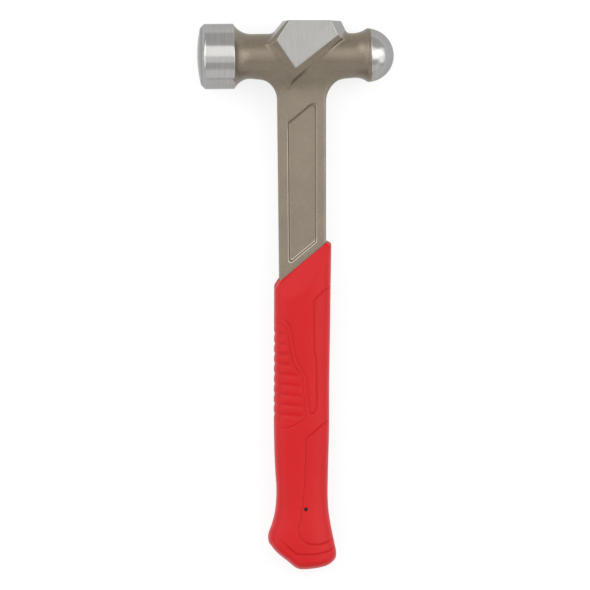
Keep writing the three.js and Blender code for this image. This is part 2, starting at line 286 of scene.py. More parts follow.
def zero_surface(field, ticks):
    """The closed surface where a field is zero.

    The field is sampled on a lattice.  Each cell that the surface crosses gets one point, the mean of
    its edge crossings, moved onto the surface along the field's slope.  Each lattice edge that the
    surface crosses gets the quad of the four cells around it.
    """
    value = field(*np.meshgrid(*ticks, indexing="ij", sparse=True))
    inside = value < 0
    cells = tuple(size - 1 for size in inside.shape)
    corners = [(i, j, k) for i in (0, 1) for j in (0, 1) for k in (0, 1)]

    def corner(array, offset):
        return array[tuple(slice(o, o + n) for o, n in zip(offset, cells))]

    filled = sum(corner(inside, offset).astype(np.int8) for offset in corners)
    crossed = (filled > 0) & (filled < 8)
    where = np.argwhere(crossed)
    total = np.zeros((len(where), 3))
    count = np.zeros(len(where))
    for first in corners:
        for axis in range(3):
            if first[axis]:
                continue
            second = tuple(1 if i == axis else o for i, o in enumerate(first))
            a = value[tuple((where + first).T)]
            b = value[tuple((where + second).T)]
            cut = (a < 0) != (b < 0)
            share = np.where(cut, a / np.where(cut, a - b, 1), 0)
            crossing = where + np.array(first) + share[:, None] * np.eye(3)[axis]
            total += crossing * cut[:, None]
            count += cut
    places = total / count[:, None]
    axes = [np.interp(places[:, i], np.arange(len(ticks[i])), ticks[i]) for i in range(3)]
    points = np.stack(axes, axis=1)
    for _ in range(4):
        points -= pull_to_zero(field, points, 0.25)

    number = np.full(cells, -1)
    number[crossed] = np.arange(len(where))
    quads = []
    for axis in range(3):
        lower = np.moveaxis(inside, axis, 0)[:-1]
        upper = np.moveaxis(inside, axis, 0)[1:]
        local = np.moveaxis(number, axis, 0)
        i, j, k = np.nonzero((lower != upper)[:, 1:-1, 1:-1])
        ring = [local[i, j + 1, k + 1], local[i, j, k + 1], local[i, j, k], local[i, j + 1, k]]
        quad = np.stack(ring, axis=1)
        outward = lower[i, j + 1, k + 1] ^ (axis == 1)
        quads.append(np.where(outward[:, None], quad, quad[:, ::-1]))
    return points, np.concatenate(quads)


def slope_of(field, points):
    """The field's slope at points, by central differences."""
    reach = 0.02
    return np.stack([
        (field(*(points + reach * axis).T) - field(*(points - reach * axis).T)) / (2 * reach)
        for axis in np.eye(3)
    ], axis=1)


def pull_to_zero(field, points, most):
    """The short move, at most so long, that takes points onto the field's zero surface."""
    here = field(*points.T)
    slope = slope_of(field, points)
    move = here[:, None] * slope / np.maximum((slope**2).sum(axis=1), 0.2)[:, None]
    length = np.linalg.norm(move, axis=1, keepdims=True)
    return move * np.minimum(1, most / np.maximum(length, 1e-9))


def forged_body():
    """The painted forging from the face's rim to the ball's, down to the shank's end in the grip.

    Its shading normals come from the field itself, without the step under the ball.
    """
    coarser = 1.0
    fine, middle, long = 0.3 * coarser, 0.55 * coarser, 1.3 * coarser
    ticks = [
        spaced(
            (-44, -8.7, middle), (-8.7, -6.7, fine), (-6.7, 7.4, middle),
            (7.4, 9.4, fine), (9.4, 45, middle),
        ),
        spaced((SHANK_END - 2, -124, long), (-124, -109, fine * 1.4), (-109, -43, long), (-43, 23, middle)),
        spaced((-20, 20, middle)),
    ]
    points, quads = zero_surface(forging_field, ticks)
    normals = slope_of(lambda x, y, z: forging_field(x, y, z, step=0.0), points)
    normals /= np.linalg.norm(normals, axis=1, keepdims=True)
    x, y = points[:, 0], points[:, 1]
    attributes = {
        "pocket_wall": pocket_distance(x, y),
        "pocket_top": above_pocket(x, y),
        "pocket_foot": below_pocket(x, y),
    }
    return make_piece(
        "forged_head_and_shank", points, quads.tolist(), "forged_body",
        attributes=attributes, normals=normals,
    )


def turned(name, profile, around):
    """A closed shape turned about the head's axis from (x, radius) points, first and last on it."""
    x, radius = np.array(profile).T
    angle = np.linspace(0, 2 * math.pi, around, endpoint=False)
    grid_x = np.repeat(x[:, None], around, axis=1)
    grid_y = radius[:, None] * np.cos(angle)
    grid_z = radius[:, None] * np.sin(angle)
    leant = grid_x - HEAD_LEAN * grid_y
    points = np.stack([leant, grid_y + HEAD_TILT * leant, grid_z], axis=-1).reshape(-1, 3)
    faces = grid_faces(len(profile), around).tolist()
    return make_piece(name, points, faces, "forged_body", weld=WELD)


def arc(cx, cy, radius, start, end, count):
    """Points on an arc, angles in degrees."""
    angle = np.radians(np.linspace(start, end, count))
    return list(zip(cx + radius * np.cos(angle), cy + radius * np.sin(angle)))


def striking_face():
    """Crowned face, chamfer and cylinder, with small rounds at the chamfer's two edges."""
    rim = FACE_RADIUS - FACE_CHAMFER
    rise = np.linspace(0, 0.985, 26)
    crown = [(FACE_TIP + FACE_CROWN * t**2, rim * t) for t in rise]
    chamfer_start = FACE_TIP + FACE_CROWN
    edge = [(chamfer_start + 0.12, rim + 0.02), (chamfer_start + 0.3, rim + 0.22)]
    steps = np.linspace(0.15, 0.85, 5)
    chamfer = [(chamfer_start + FACE_CHAMFER * t, rim + FACE_CHAMFER * t) for t in steps]
    corner = arc(chamfer_start + FACE_CHAMFER + 0.5, FACE_RADIUS - 0.9, 0.9, 130, 92, 6)
    side_start = chamfer_start + FACE_CHAMFER + 1.75
    side = [(x, FACE_RADIUS) for x in np.linspace(side_start, FACE_LINE - 1.7, 24)]
    back = arc(FACE_LINE - 0.5, FACE_RADIUS - 0.5, 0.5, 84, 6, 6)
    end = [(FACE_LINE, 17.0), (FACE_LINE, 8.0), (FACE_LINE, 0.0)]
    return turned("polished_striking_face", crown + edge + chamfer + corner + side + back + end, 144)


def ball_end():
    """The ball, from its bare edge to its tip."""
    start = math.degrees(math.acos((BALL_LINE - BALL_CENTRE) / BALL_RADIUS))
    ball = arc(BALL_CENTRE, 0, BALL_RADIUS, start, 0, 48)
    ball[-1] = (BALL_CENTRE + BALL_RADIUS, 0.0)
    return turned("polished_ball", [(BALL_LINE, 0.0), (BALL_LINE, 8.0)] + ball, 144)


def tang():
    """The tang inside the grip: a flat bar with rounded edges and a round end."""
    rows, around = 60, 48
    along = np.linspace(0, 1, rows)[:, None]
    angle = np.linspace(0, 2 * math.pi, around, endpoint=False)[None, :]
    top = SHANK_END - 1.5
    y = top + (TANG_END - top) * (1 - (1 - along) ** 2) ** 0.5 + 0 * angle
    close = np.where((along == 0) | (along == 1), 0, 1)
    reach = np.maximum(0, (y - TANG_END) / TANG_HALF_WIDTH)
    narrow = np.sqrt(1 - np.clip(1 - reach, 0, 1) ** 2)
    x = close * narrow * TANG_HALF_WIDTH * np.sign(np.cos(angle)) * np.abs(np.cos(angle)) ** 0.3
    z = close * TANG_HALF * np.sign(np.sin(angle)) * np.abs(np.sin(angle)) ** 0.5
    points = np.stack([x, y, z], axis=-1).reshape(-1, 3)
    faces = grid_faces(rows, around).tolist()
    return make_piece("tang", points, faces, "forged_body", weld=WELD)


# ---------------------------------------------------------------- grip

GRIP_LEFT = (
    (-100, -16.3), (-137, -16.4), (-180, -16.5), (-225, -16.5), (-238, -16.2), (-249, -15.7),
    (-260, -15.0), (-267, -15.2), (-274, -16.0), (-281, -17.8), (-286, -19.6), (-289.5, -20.25),
    (-312, -20.3),
)
GRIP_RIGHT = (
    (-100, 17.95), (-113, 17.9), (-141, 17.5), (-170, 17.1), (-195, 16.7), (-228, 16.55), (-240, 16.2),
    (-252, 15.9), (-266, 15.85), (-272, 16.2), (-278, 17.0), (-285, 18.3), (-292, 19.8), (-297.6, 20.9),
    (-312, 21.0),
)
GRIP_HALF = (
    (-100, 13.1), (-160, 13.2), (-225, 13.2), (-256, 12.7), (-272, 13.3), (-288, 14.9), (-312, 15.1),
)
BUTT_CONTOUR = (
    (-20.25, -288.4), (-19.8, -290.2), (-17.4, -294.3), (-15.0, -297.3), (-12.6, -299.6), (-7.8, -303.6),
    (-3.4, -307.2), (-1.5, -308.0), (1.5, -308.2), (6.6, -307.8), (11.4, -307.0), (15.0, -305.9),
    (18.0, -304.0), (19.6, -302.3), (20.6, -300.2), (20.95, -298.3),
)


def butt_height(x):
    """The butt's contour: a long slant, a shallow bottom and a rounded right corner."""
    return stations(BUTT_CONTOUR, x)


def cut_height(x):
    """The slanted upper end of the grip, a straight line in plan."""
    return (CUT_LEFT + CUT_RIGHT) / 2 + (x - CUT_MIDDLE) * math.tan(CUT_ANGLE)


def lip_height(x, z):
    """The lip's rim: on the slanted line at front and back, standing higher between them."""
    rise = LIP_RISE - LIP_LEAN * np.clip(x / 15, -1, 1)
    return cut_height(x) + rise * (1 - np.clip(np.abs(z) / LIP_HALF, 0, 1)) ** 2


def signed_power(value, power):
    """A power that keeps the sign."""
    return np.sign(value) * np.abs(value) ** power


def grip_sections(y, cosine, sine, inset, power):
    """Superellipse sections at heights y, shrunk by an inset."""
    left = stations(GRIP_LEFT, y) + inset
    right = stations(GRIP_RIGHT, y) - inset
    half = stations(GRIP_HALF, y) - inset
    across = signed_power(cosine, 2 / power)
    return (left + right) / 2 + (right - left) / 2 * across, half * signed_power(sine, 2 / power)


def softened(points, cut=1.6):
    """A line of straight stretches through points, each corner rounded by a small parabola."""
    points = np.array(points, dtype=float)
    back = points[:-2] - points[1:-1]
    ahead = points[2:] - points[1:-1]
    lengths = [np.linalg.norm(side, axis=1, keepdims=True) for side in (back, ahead)]
    starts = points[1:-1] + back * np.minimum(0.45, cut / lengths[0])
    ends = points[1:-1] + ahead * np.minimum(0.45, cut / lengths[1])
    t = np.linspace(0, 1, 6)[None, :, None]
    bends = starts[:, None] * (1 - t) ** 2 + points[1:-1, None] * 2 * t * (1 - t) + ends[:, None] * t**2
    return np.concatenate([points[:1], bends.reshape(-1, 2), points[-1:]])


def line_distance(x, y, line):
    """Signed distance in plan from points to a polyline, positive on its left-hand side."""
    best = np.full(x.shape, np.inf)
    signed = np.zeros(x.shape)
    for (ax, ay), (bx, by) in zip(line[:-1], line[1:]):
        dx, dy = bx - ax, by - ay
        t = np.clip(((x - ax) * dx + (y - ay) * dy) / max(dx * dx + dy * dy, 1e-9), 0, 1)
        away = np.hypot(x - ax - t * dx, y - ay - t * dy)
        side = np.where(dx * (y - ay) - dy * (x - ax) < 0, -1.0, 1.0)
        signed = np.where(away < best, side * away, signed)
        best = np.minimum(best, away)
    return signed


PALM_LINE = (
    (20.0, -135.0), (13.6, -140.9), (7.4, -146.3), (6.9, -148.7), (7.0, -177.6), (8.5, -182.9),
    (8.9, -210.2), (7.7, -213.4), (5.6, -215.3), (4.2, -212.9), (2.3, -193.1), (1.3, -190.4),
    (-3.3, -183.5), (-5.2, -173.8), (-7.6, -161.6), (-10.5, -158.3), (-15.9, -156.2), (-21.0, -155.0),
)
RIB_LINE = (
    (-21.0, -159.5), (-15.9, -160.0), (-11.8, -161.0), (-9.9, -163.2), (-7.8, -173.8), (-6.0, -183.5),
    (-4.6, -186.7), (-0.9, -191.5), (-0.1, -194.2), (1.7, -215.5), (1.7, -217.7), (-4.1, -221.4),
    (-7.8, -223.0), (-15.9, -223.3), (-21.0, -223.3),
)
BUTT_LINE = (
    (20.0, -214.2), (15.6, -218.3), (2.5, -230.0), (1.9, -231.6), (1.9, -244.0), (1.5, -253.4),
    (0.5, -266.7), (-0.8, -276.7), (-2.5, -284.1), (-2.3, -287.4), (0.2, -291.1), (4.9, -293.0),
    (10.9, -293.0), (16.3, -290.9), (20.0, -288.2), (24.0, -285.0),
)
HEEL_LINE = (
    (-22.0, -281.0), (-18.5, -285.1), (-15.9, -288.4), (-3.8, -298.5), (-1.8, -299.1), (7.6, -298.9),
    (14.3, -297.6), (17.9, -295.5), (20.0, -293.5), (24.0, -289.0),
)
GROOVES = {"palm_line": PALM_LINE, "rib_line": RIB_LINE, "butt_line": BUTT_LINE, "heel_line": HEEL_LINE}
GROOVE_HALF, GROOVE_DEPTH = 0.42, 0.35
RIB_TOP, RIB_PITCH, RIB_COUNT = -154.7, 6.01, 11
RIB_LEFT, RIB_RUN, RIB_FALL = -16.5, 15.0, 1.5  # a finger groove falls so far over its run to the right
RIB_HALF, RIB_DEPTH, RIB_INSET = 2.1, 0.44, 1.2
PIN_HOLE, PIN_DEPTH = (2.2, -271.9, 1.1), 0.8  # centre and radius of the pin hole


def grip_relief(x, y, z):
    """How far the surface is sunk at its lines and finger grooves, the pin holes' mask, and each line's
    signed distance.

    A line fades out towards the edges and the striking side.  A finger groove is a cosine dip.
    """
    distances = {name: line_distance(x, y, softened(line)) for name, line in GROOVES.items()}
    sunk = np.zeros(x.shape)
    for away in distances.values():
        sunk = np.maximum(sunk, GROOVE_DEPTH * np.clip(1.5 - np.abs(away) / GROOVE_HALF, 0, 1))
    sunk = sunk * np.clip(np.abs(z) / 5, 0, 1) * np.clip((x + 15) / 8, 0.1, 1)
    inside = np.clip((RIB_INSET + distances["rib_line"]) / -RIB_INSET, 0, 1)
    phase = (RIB_TOP - RIB_FALL * np.clip((x - RIB_LEFT) / RIB_RUN, 0, 1) - y) / RIB_PITCH
    from_rib = np.abs(phase - np.round(phase)) * RIB_PITCH
    counted = (np.round(phase) >= 0) & (np.round(phase) < RIB_COUNT)
    rib = 0.5 + 0.5 * np.cos(np.pi * np.clip(from_rib / RIB_HALF, 0, 1))
    sunk = np.maximum(sunk, RIB_DEPTH * rib * counted * inside)
    hole = np.hypot(x - PIN_HOLE[0], y - PIN_HOLE[1])
    pin = np.clip((PIN_HOLE[2] + 0.2 - hole) / 0.4, 0, 1) * (np.abs(z) > 3)
    return sunk, pin, distances


def grip_skin():
    """The red skin: one closed cup, outside from butt to lip, then inside from lip to the cavity's end.

    Rows are slanted sections between the butt's contour and the slanted upper end, and each row goes
    once around.  The outside closes over the butt with a rounded edge, a lead-in ramp cuts it down to
    the thin lip, and the inside follows the shank, then the core.
    """
    around = 208
    body_rows = 400
    angle = np.linspace(0, 2 * math.pi, around, endpoint=False)[None, :]
    cosine, sine = np.cos(angle), np.sin(angle)
    across = signed_power(cosine, 2 / GRIP_POWER)
    lip_half_width = LIP_SECTION[0] - LIP_CORNER
    lip_z = np.minimum(LIP_SECTION[1] * np.abs(sine) ** (2 / GRIP_POWER), LIP_HALF)
    cut = lip_height(CUT_MIDDLE + lip_half_width * across, lip_z)
    butt = butt_height(BUTT_MIDDLE + BUTT_HALF_WIDTH * across)

    turn = np.linspace(0, math.pi / 2, 18)[:, None]
    end_y = butt + BUTT_ROUND * (1 - np.cos(turn))
    end_scale = (1 - np.cos(turn) ** BUTT_POWER) ** (1 / BUTT_POWER)
    share = np.linspace(0, 1, body_rows + 1)[1:, None]
    body_y = butt + BUTT_ROUND + share * (cut - butt - BUTT_ROUND)
    y = np.concatenate([end_y, body_y])
    scale = np.concatenate([end_scale, np.ones((body_rows, 1))])

    below_cut = np.maximum((cut - y) * math.cos(CUT_ANGLE), 0)
    fall = LIP_FALLS[0] + (LIP_FALLS[1] - LIP_FALLS[0]) * (across + 1) / 2
    shoulder = LIP_CORNER * np.clip(1 - below_cut / fall, 0, 1) ** 1.3
    x, z = grip_sections(y, cosine, sine, 0, GRIP_POWER)
    x = x - shoulder * across
    z = z * scale
    ramp = LIP_HALF + LIP_SLOPE * below_cut
    flat = np.clip(np.abs(sine) * 3, 0, 1)
    z = np.sign(z) * (smooth_min(np.abs(z), ramp, 1.0) * flat + np.minimum(np.abs(z), ramp) * (1 - flat))
    outside = np.stack([x, y, z], axis=-1)

    normal = np.cross(np.gradient(outside, axis=1), np.gradient(outside, axis=0))
    normal[:, 0] = np.cross(outside[:, 1] - outside[:, -1], np.gradient(outside[:, 0], axis=0))
    normal[:, -1] = np.cross(outside[:, 0] - outside[:, -2], np.gradient(outside[:, -1], axis=0))
    normal /= np.maximum(np.linalg.norm(normal, axis=-1, keepdims=True), 1e-9)
    outward = np.sign((normal * np.stack([x, 0 * y, z], axis=-1)).sum(axis=-1, keepdims=True))
    sunk, pin, distances = grip_relief(x, y, z)
    fade = np.clip(below_cut / 2, 0, 1) * np.clip(scale * 1.2, 0, 1)
    outside = outside - normal * outward * (sunk * fade + PIN_DEPTH * pin)[..., None]

    throat_x = THROAT_MIDDLE + THROAT_HALF_WIDTH * signed_power(cosine, 2 / THROAT_POWERS[0])
    throat_z = THROAT_HALF * signed_power(sine, 2 / THROAT_POWERS[1])
    lip_x, lip_z = outside[-1, :, 0], outside[-1, :, 2]
    rings = []
    for share, rise in LIP_ROUND:
        ring_x = throat_x[0] * (1 - share) + lip_x * share
        ring_z = throat_z[0] * (1 - share) + lip_z * share
        rings.append(np.stack([ring_x, lip_height(ring_x, ring_z) + rise, ring_z], axis=-1))
    level = np.full(around, THROAT_END)
    rings.append(np.stack([throat_x[0], level + 1.0, throat_z[0]], axis=-1))
    rings.append(np.stack([throat_x[0] * 0.9, level - 1.0, throat_z[0] * 0.9], axis=-1))
    floor = butt_height(BUTT_MIDDLE + CAVITY_HALF_WIDTH * across) + BUTT_WALL
    for part in np.concatenate([[0.0], np.linspace(0.004, 1, 22)]):
        inner_y = CORE_TOP * (1 - part) + floor * part
        inner_x, inner_z = grip_sections(inner_y, cosine, sine, WALL, GRIP_POWER)
        rings.append(np.stack([inner_x[0], inner_y[0], inner_z[0]], axis=-1))
    last = rings[-1]
    for flat_part in (0.6, 0.25, 0.0):
        rings.append(last * np.array([1, 1, flat_part]))
    points = np.concatenate([outside, np.array(rings)])
    far = np.full((len(rings), around), 9.0)
    attributes = {name: np.concatenate([away, far]).ravel() for name, away in distances.items()}
    faces = grid_faces(len(points), around).tolist()
    return make_piece(
        "grip_skin", points.reshape(-1, 3), faces, "grip_overmould",
        weld=WELD, attributes=attributes,
    )


# ---------------------------------------------------------------- shader arithmetic

class Wire:
    """One output socket, with arithmetic that adds Math nodes."""

    def __init__(self, shader, socket):
        self.shader = shader
        self.socket = socket

    def math(self, operation, *others):
        inputs = {0: self, **{i + 1: other for i, other in enumerate(others)}}
        return self.shader.node("ShaderNodeMath", {"operation": operation}, inputs)[0]

    def __add__(self, other):
        return self.math("ADD", other)

    def __radd__(self, other):
        return self.math("ADD", other)

    def __sub__(self, other):
        return self.math("SUBTRACT", other)

    def __rsub__(self, other):
        return self.math("MULTIPLY", -1.0).math("ADD", other)

    def __mul__(self, other):
        return self.math("MULTIPLY", other)

    def __truediv__(self, other):
        return self.math("DIVIDE", other)

    def __pow__(self, other):
        return self.math("POWER", other)

    def __abs__(self):
        return self.math("ABSOLUTE")

    def maximum(self, other):
        return self.math("MAXIMUM", other)

    def minimum(self, other):
        return self.math("MINIMUM", other)

    def ramp(self, low, high):
        """0 below low, 1 above high, smooth between."""
        settings = {"interpolation_type": "SMOOTHSTEP"}
        inputs = {"Value": self, "From Min": low, "From Max": high}
        return self.shader.node("ShaderNodeMapRange", settings, inputs)["Result"]


class Shader:
    """A procedural material on the hammer's bench axes, in millimetres."""

    def __init__(self, name):
        self.material = bpy.data.materials.new(name)
        self.material.use_nodes = True
        self.tree = self.material.node_tree
        self.tree.nodes.clear()
        turned_back = Matrix(BENCH.T.tolist())
        offset = -(turned_back @ Vector(BENCH_ORIGIN)) / MM
        coordinate = self.node("ShaderNodeTexCoord", {}, {})["Object"]
        mapping = {
            "Location": offset,
            "Rotation": turned_back.to_euler("XYZ"),
            "Scale": (1 / MM,) * 3,
            "Vector": coordinate,
        }
        self.bench = self.node("ShaderNodeMapping", {"vector_type": "POINT"}, mapping)["Vector"]
        split = self.node("ShaderNodeSeparateXYZ", {}, {0: self.bench})
        self.x, self.y, self.z = split["X"], split["Y"], split["Z"]

    def node(self, kind, settings, inputs):
        """A node with its settings made first, then its inputs linked or set; gives its outputs."""
        node = self.tree.nodes.new(kind)
        for key, value in settings.items():
            setattr(node, key, value)
        for key, value in inputs.items():
            if isinstance(value, Wire):
                self.tree.links.new(value.socket, node.inputs[key])
            else:
                node.inputs[key].default_value = value
        outputs = {}
        for i, socket in enumerate(node.outputs):
            if socket.enabled:
                outputs.setdefault(socket.name, Wire(self, socket))
            outputs[i] = Wire(self, socket)
        return outputs

    def noise(self, scale, detail=2.0, roughness=0.5, stretch=(1, 1, 1), offset=0.0):
        """Noise in 0..1 on bench millimetres, scale in features per millimetre."""
        place = {"Vector": self.bench, "Scale": stretch, "Location": (offset,) * 3}
        vector = self.node("ShaderNodeMapping", {}, place)["Vector"]
        inputs = {"Vector": vector, "Scale": scale, "Detail": detail, "Roughness": roughness}
        return self.node("ShaderNodeTexNoise", {}, inputs)[0]

    def combine(self, x, y, z):
        return self.node("ShaderNodeCombineXYZ", {}, {"X": x, "Y": y, "Z": z})[0]

    def attribute(self, name):
        return self.node("ShaderNodeAttribute", {"attribute_name": name}, {})["Fac"]

    def mix(self, factor, a, b):
        """Colour a where factor is 0, colour b where it is 1."""
        a, b = (c if isinstance(c, Wire) else (*c, 1) for c in (a, b))
        return self.node("ShaderNodeMix", {"data_type": "RGBA"}, {0: factor, 6: a, 7: b})[2]

    def blend(self, factor, a, b):
        """Number a where factor is 0, number b where it is 1."""
        return a + factor * (b - a)

    def bump(self, height, distance, strength=1.0):
        """A normal from a height in millimetres."""
        inputs = {"Strength": strength, "Distance": distance * MM, "Height": height}
        return self.node("ShaderNodeBump", {}, inputs)["Normal"]

    def surface(self, **inputs):
        """The finished surface; names are the shader's socket names with _ for spaces."""
        named = {key.replace("_", " "): value for key, value in inputs.items()}
        named = {k: (*v, 1) if isinstance(v, tuple) and len(v) == 3 else v for k, v in named.items()}
        shader = self.node("ShaderNodeBsdfPrincipled", {}, named)["BSDF"]
        self.node("ShaderNodeOutputMaterial", {}, {"Surface": shader})
        return self.material


# ---------------------------------------------------------------- materials

COAT_DARK, COAT_LIGHT = (0.127, 0.106, 0.079), (0.202, 0.168, 0.126)
# The second colour is a painted highlight, for the bright lines along the pocket's walls.
COAT_FLECK, COAT_PAINTED_HIGHLIGHT = (0.40, 0.35, 0.28), (0.62, 0.58, 0.50)
GROUND_DARK, GROUND_LIGHT = (0.235, 0.230, 0.218), (0.305, 0.298, 0.284)
POLISHED_DARK, POLISHED_LIGHT = (0.31, 0.305, 0.295), (0.41, 0.402, 0.39)
# Painted shade: a darker steel colour that darkens the crown's and the ball's reflections.
POLISHED_PAINTED_SHADE = (0.22, 0.217, 0.212)  # mixed in on the crown and a little on the ball
# The third red is painted shade, mixed into the moulded lines and finger grooves.
RED_DARK, RED_LIGHT, RED_PAINTED_SHADE = (0.365, 0.002, 0.004), (0.455, 0.006, 0.008), (0.25, 0.001, 0.002)
# Painted in the pin hole: the black core's colour, and painted shade for the hole's depth.
PIN_HOLE_CORE_AND_SHADE = (0.004, 0.004, 0.005)
BLOCK_MIDDLE, BLOCK_REACH, SHOULDER_FOOT = 4.0, 22.0, 8.0  # where the poll block's ground flats are
CROWN_EDGE = (-60.4, -59.6)  # the crown's painted shade gives way to the bright cylinder between these


def bare_flats(shader):
    """1 on the ground flats of the poll block, 0 on the coated steel around them."""
    height = abs(shader.z)
    near = 1 - abs(shader.x - BLOCK_MIDDLE).ramp(BLOCK_REACH, BLOCK_REACH + 1.0)
    cheek = height.ramp(CHEEK_HALF - 0.13, CHEEK_HALF - 0.05)
    top = shader.y.ramp(POLL_TOP - 0.13, POLL_TOP - 0.05)
    bare = cheek.maximum(top)
    for name in ("left_shoulder", "right_shoulder"):
        nx, ny, nz, reach = PLANES[name]
        depth = reach - (shader.x * nx + shader.y * ny + height * nz)
        shoulder = (1 - abs(depth).ramp(0.04, 0.12)) * shader.y.ramp(SHOULDER_FOOT, SHOULDER_FOOT + 0.6)
        bare = bare.maximum(shoulder)
    return bare * near


def coated_steel():
    """Blasted forging steel under a clear warm-grey coat, ground bare on the poll block's flats.

    Painted highlights run as bright lines along the pocket's walls, most at the lower end and not at the
    upper one.
    """
    shader = Shader("coated_forging_steel")
    grain = shader.noise(1.5, 3.0, 0.65)
    cloud = shader.noise(0.06, 2.0, 0.5, offset=7.0)
    fleck = shader.noise(2.6, 2.0, 0.6, offset=19.0)
    tone = (grain - 0.5) * 1.1 + (cloud - 0.5) * 0.4 + 0.5
    coat = shader.mix(tone.ramp(0.0, 1.0), COAT_DARK, COAT_LIGHT)
    coat = shader.mix(fleck.ramp(0.64, 0.80) * 0.25, coat, COAT_FLECK)
    brushed = shader.noise(1.0, 3.0, 0.6, stretch=(3.2, 0.10, 1.0), offset=3.0)
    patch = shader.noise(0.11, 2.0, 0.5, offset=31.0)
    steel_tone = (brushed - 0.5) * 1.1 + (patch - 0.5) * 0.5 + 0.5
    steel = shader.mix(steel_tone.ramp(0.0, 1.0), GROUND_DARK, GROUND_LIGHT)
    # Painted highlight: bright lines on the pocket's edges, stronger at its lower end, none at its upper
    # end.
    wall = shader.attribute("pocket_wall")
    foot = 1 - abs(shader.attribute("pocket_foot")).ramp(1.0, 1.8)
    outer, inner = (1 - abs(wall - place).ramp(0.04, 0.3) for place in (0.62, -0.62))
    pocket_painted_highlight = (outer * (foot * 0.3 + 0.2)).maximum(inner * foot * 0.5)
    pocket_painted_highlight = pocket_painted_highlight * (1 - shader.attribute("pocket_top").ramp(-3.0, -1.5))
    coat = shader.mix(pocket_painted_highlight, coat, COAT_PAINTED_HIGHLIGHT)
    bare = bare_flats(shader)
    height = shader.blend(bare, grain * 0.035 + fleck * 0.02, brushed * 0.012)
    return shader.surface(
        Base_Color=shader.mix(bare, coat, steel),
        Metallic=shader.blend(bare, 0.6, 1.0),
        Roughness=shader.blend(bare, 0.34 + (grain - 0.5) * 0.16, 0.34 + (patch - 0.5) * 0.1),
        Normal=shader.bump(height, 1.0),
        Specular_IOR_Level=0.4,
    )


def polished_steel():
    """Bare turned steel: fine rings about the head's axis, with faint clouds, painted shade on crown and
    ball, the ball a touch rougher.
    """
    shader = Shader("polished_tool_steel")
    radius = (shader.y * shader.y + shader.z * shader.z) ** 0.5
    place = shader.combine(shader.x, radius, shader.z * 0.02)
    rings = shader.node("ShaderNodeTexNoise", {}, {"Vector": place, "Scale": 2.6, "Detail": 3.0})[0]
    cloud = shader.noise(0.09, 3.0, 0.55, offset=5.0)
    fine = shader.noise(2.0, 2.0, 0.6, offset=11.0)
    tone = (rings - 0.5) * 0.8 + (cloud - 0.5) * 0.5 + (fine - 0.5) * 0.2 + 0.5
    steel = shader.mix(tone.ramp(0.0, 1.0), POLISHED_DARK, POLISHED_LIGHT)
    on_ball = shader.x.ramp(0.0, 1.0)
    # Painted shade: the crown, and faintly the ball, are darkened in colour.
    crown_painted_shade = (1 - shader.x.ramp(*CROWN_EDGE)).maximum(on_ball * 0.15)
    return shader.surface(
        Base_Color=shader.mix(crown_painted_shade * 0.6, steel, POLISHED_PAINTED_SHADE),
        Metallic=1.0,
        Specular_Tint=(0.72, 0.71, 0.69),
        Roughness=on_ball * 0.03 + 0.17 + (cloud - 0.5) * 0.08 + (rings - 0.5) * 0.06,
        Normal=shader.bump(rings * 0.008 + fine * 0.003, 1.0),
    )


def groove_mask(shader):
    """1 in the moulded lines, crisp because it is worked out from signed distances."""
    nearest = None
    for name in GROOVES:
        away = abs(shader.attribute(name))
        nearest = away if nearest is None else nearest.minimum(away)
    return 1 - nearest.ramp(0.15, GROOVE_HALF + 0.1)


def rib_mask(shader):
    """1 in the middle of the finger grooves on the striking side, 0 outside their panel."""
    lowered = ((shader.x - RIB_LEFT) / RIB_RUN).maximum(0.0).minimum(1.0) * RIB_FALL
    phase = (RIB_TOP - lowered - shader.y) / RIB_PITCH
    count = phase.math("ROUND")
    away = abs(phase - count) * RIB_PITCH
    counted = count.ramp(-0.6, -0.4) * (1 - count.ramp(RIB_COUNT - 0.6, RIB_COUNT - 0.4))
    panel = 1 - shader.attribute("rib_line").ramp(-RIB_INSET - 1.0, -RIB_INSET)
    return (1 - away.ramp(0.0, RIB_HALF)) * counted * panel


def red_elastomer():
    """Soft matt red skin with a fine moulded texture, painted shade darkening its grooves; in the pin holes
    black, the core's colour with painted shade for their depth.
    """
    shader = Shader("red_soft_grip")
    texture = shader.noise(2.4, 3.0, 0.6)
    cloud = shader.noise(0.05, 2.0, 0.5, offset=13.0)
    groove, rib = groove_mask(shader), rib_mask(shader)
    # The pin hole is painted black: the core's colour plus painted shade for its depth.
    from_pin = ((shader.x - PIN_HOLE[0]) ** 2.0 + (shader.y - PIN_HOLE[1]) ** 2.0) ** 0.5
    pin = 1 - from_pin.ramp(PIN_HOLE[2] - 0.12, PIN_HOLE[2] + 0.12)
    tone = (texture - 0.5) * 0.5 + (cloud - 0.5) * 0.35 + 0.5
    red = shader.mix(tone.ramp(0.0, 1.0), RED_DARK, RED_LIGHT)
    # Painted shade in the grooves: stronger towards the butt, faint on the striking side, slight in the
    # finger grooves.
    shade_stronger_low = 1 - shader.y.ramp(-236.0, -228.0)
    groove = groove * (shader.x.ramp(-15.0, -7.0) * 0.8 + 0.2)
    red = shader.mix(groove * (0.16 + shade_stronger_low * 0.26) + rib * 0.05, red, RED_PAINTED_SHADE)
    return shader.surface(
        Base_Color=shader.mix(pin, red, PIN_HOLE_CORE_AND_SHADE),
        Roughness=0.42 + (texture - 0.5) * 0.14 + groove * 0.1,
        Normal=shader.bump(texture * 0.03 - groove * 0.14, 1.0),
        Specular_IOR_Level=0.18,
    )


def dark_polymer(name, dark, light, roughness):
    """A black moulded polymer with a fine grain, for the pieces inside the grip."""
    shader = Shader(name)
    grain = shader.noise(0.9, 3.0, 0.6)
    return shader.surface(
        Base_Color=shader.mix(grain.ramp(0.2, 0.8), dark, light),
        Roughness=roughness + (grain - 0.5) * 0.2,
        Normal=shader.bump(grain * 0.05, 1.0),
    )


